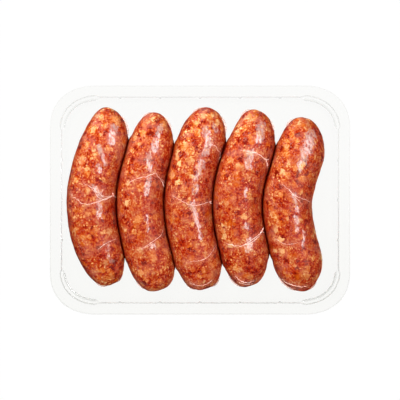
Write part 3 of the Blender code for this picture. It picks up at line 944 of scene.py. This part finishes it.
def makeThreads(name, number, mesh, material, filmMaterial):
    # each path is dropped onto the skin, and the skin beside it is marked with a milky veil
    look = threadLook
    corners = [vertex.co * 1000.0 for vertex in mesh.vertices]
    surface = BVHTree.FromPolygons(corners, [tuple(face.vertices) for face in mesh.polygons])
    down = Vector((0.0, 0.0, -1.0))
    stepOn, stepNumber, stepOrder = look["wobbleSteps"]
    shape = bmesh.new()
    seen = []
    for order, (thickness, *path) in enumerate(threads[name]):
        places = smoothPath(path, look["step"])
        centers, normals, radii = [], [], []
        for i, (x, y) in enumerate(places):
            drift = Vector((i * stepOn, number * stepNumber, order * stepOrder))
            sway = noise.noise(drift) * look["wobble"]
            spot, normal, _, _ = surface.ray_cast(Vector((x + sway, y + sway, look["dropFrom"])), down)
            if spot is None or spot.z < look["lowestSpot"]:
                continue
            centers.append(spot + normal * look["lift"])
            normals.append(normal)
            share = min(max(i / (len(places) - 1), look["endCap"]), 1 - look["endCap"])
            swell = look["endShare"] + (1 - look["endShare"]) * math.sin(math.pi * share) ** 0.5
            radii.append(thickness / 2 * swell * look["stoutness"])
        if len(centers) > 1:
            addTube(shape, centers, normals, radii)
            seen.extend(centers)
    film = makeLooseCasing(name, number, shape, filmMaterial)
    threadMesh = bpy.data.meshes.new(name + "Casing")
    shape.to_mesh(threadMesh)
    shape.free()
    made = meshObject(f"casing_{number + 1}", threadMesh, material)
    own = np.array([tuple(point) for point in corners])
    nearest = np.full(len(own), look["noVeil"])
    for spot in seen:
        nearest = np.minimum(nearest, np.linalg.norm(own - np.array(spot), axis=1))
    addMark(mesh, "veil", np.exp(-(nearest / look["veilReach"]) ** 2))
    return made, film


def makeCasing():
    material, tree, output = newMaterial("casing")
    look = threadLook
    cloud = addNode(
        tree, "TexNoise", {"Vector": millimetres(tree), "Scale": look["patchScale"], "Detail": 2.0})
    pinkness = smoothBetween(tree, cloud.outputs["Fac"], *look["patches"])
    shader = addNode(tree, "BsdfPrincipled", {
        "Base Color": mixColor(tree, pinkness, look["pale"], look["pink"]),
        "Roughness": look["roughness"],
        "Coat Weight": look["coat"],
    })
    tree.links.new(shader.outputs[0], output.inputs["Surface"])
    return material


def makeCasingFilm():
    material, tree, output = newMaterial("casingFilm")
    cloud = addNode(
        tree, "TexNoise", {"Vector": millimetres(tree), "Scale": filmLook["patchScale"], "Detail": 2.0})
    color = mixColor(tree, cloud.outputs["Fac"], filmLook["tone"], threadLook["pale"])
    shine = addNode(tree, "BsdfPrincipled", {"Base Color": color, "Roughness": threadLook["roughness"]})
    through = addNode(tree, "BsdfTransparent")
    share = smoothBetween(tree, cloud.outputs["Fac"], *filmLook["patches"])
    mixed = addNode(tree, "MixShader", {0: share, 1: through.outputs[0], 2: shine.outputs[0]})
    tree.links.new(mixed.outputs[0], output.inputs["Surface"])
    return material


def makeSausages():
    casing = makeCasing()
    filmMaterial = makeCasingFilm()
    for number, name in enumerate(sausages):
        mesh = makeSausageMesh(name, number)
        link = meshObject(f"link_{number + 1}", mesh, makeMeat(f"meat_{number + 1}", number + 1))
        strands, film = makeThreads(name, number, mesh, casing, filmMaterial)
        for piece in (link, strands, film):
            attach(piece, "root")
        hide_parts(name)
    print("sausages filled:", len(sausages))


# Studio
studio = {
    "floorSize": 17.0, "floorLevel": -0.0002, "floorWhite": 0.01, "floorGlow": 0.988, "floorRoughness": 0.9,
    "wallRadius": 8.0, "wallHeight": 1.2, "wallSides": 96, "wallSunk": 0.001,
    "cameraHeight": 1.60, "frameWidth": 0.2530, "sensor": 36.0, "nearest": 0.05, "farthest": 60.0,
    "aim": (0.0, 0.0, 0.03), "world": (0.11, 0.11, 0.11),
}
lamps = {
    "softBox": {
        "at": (-0.33, 0.49, 1.13), "size": (0.7, 0.7), "power": 27.8, "tint": (1.0, 0.985, 0.965),
        "matt": True, "gloss": False,
    },
    "sheen": {
        "at": (0.66, 0.25, 1.05), "size": (0.85, 1.1), "power": 50.0, "tint": (0.98, 0.97, 1.0),
        "matt": False, "gloss": True,
    },
    "frontFill": {
        "at": (0.62, -0.62, 0.55), "size": (0.6, 0.6), "power": 6.6, "tint": (1.0, 0.97, 0.95),
        "matt": True, "gloss": False,
    },
}


def makeFloor():
    bpy.ops.mesh.primitive_plane_add(size=studio["floorSize"], location=(0.0, 0.0, studio["floorLevel"]))
    floor = bpy.context.object
    floor.name = "studioFloor"
    material, tree, output = newMaterial("paleFloor")
    shader = addNode(tree, "BsdfPrincipled", {
        "Base Color": (*[studio["floorWhite"]] * 3, 1.0),
        "Roughness": studio["floorRoughness"],
        "Specular IOR Level": 0.0,
        "Emission Color": (1.0, 1.0, 1.0, 1.0),
        "Emission Strength": studio["floorGlow"],
    })
    tree.links.new(shader.outputs[0], output.inputs["Surface"])
    floor.data.materials.append(material)
    floor.visible_glossy = False
    # a far pale wall, so that low views have no dark horizon; it lights nothing
    bpy.ops.mesh.primitive_cylinder_add(
        vertices=studio["wallSides"], radius=studio["wallRadius"], depth=studio["wallHeight"],
        end_fill_type="NOTHING", location=(0.0, 0.0, studio["wallHeight"] / 2 - studio["wallSunk"]),
    )
    wall = bpy.context.object
    wall.name = "studioWall"
    wall.data.materials.append(material)
    wall.visible_diffuse = False
    wall.visible_glossy = False


def makeLamps():
    for name, lamp in lamps.items():
        light = bpy.data.lights.new(name, "AREA")
        light.shape = "RECTANGLE"
        light.size, light.size_y = lamp["size"]
        light.energy = lamp["power"]
        light.color = lamp["tint"]
        holder = bpy.data.objects.new(name, light)
        holder.location = lamp["at"]
        aim = Vector(studio["aim"]) - holder.location
        holder.rotation_euler = aim.to_track_quat("-Z", "Y").to_euler()
        holder.visible_diffuse = lamp["matt"]
        holder.visible_glossy = lamp["gloss"]
        bpy.context.scene.collection.objects.link(holder)
    print("studio lit:", len(lamps), "lamps")


def makeCamera():
    data = bpy.data.cameras.new("overhead")
    camera = bpy.data.objects.new("overhead", data)
    bpy.context.scene.collection.objects.link(camera)
    camera.location = (0.0, 0.0, studio["cameraHeight"])
    data.sensor_width = studio["sensor"]
    data.lens = studio["sensor"] * (studio["cameraHeight"] - tray["height"] * mm) / studio["frameWidth"]
    data.clip_start, data.clip_end = studio["nearest"], studio["farthest"]
    bpy.context.scene.camera = camera


def makeWorld():
    world = bpy.data.worlds.new("softRoom")
    world.use_nodes = True
    background = world.node_tree.nodes["Background"]
    background.inputs["Color"].default_value = (*studio["world"], 1.0)
    background.inputs["Strength"].default_value = 1.0
    bpy.context.scene.world = world
    bpy.context.scene.view_settings.view_transform = "Standard"


makeCamera()
makeTray()
makeSausages()
makeFloor()
makeLamps()
makeWorld()
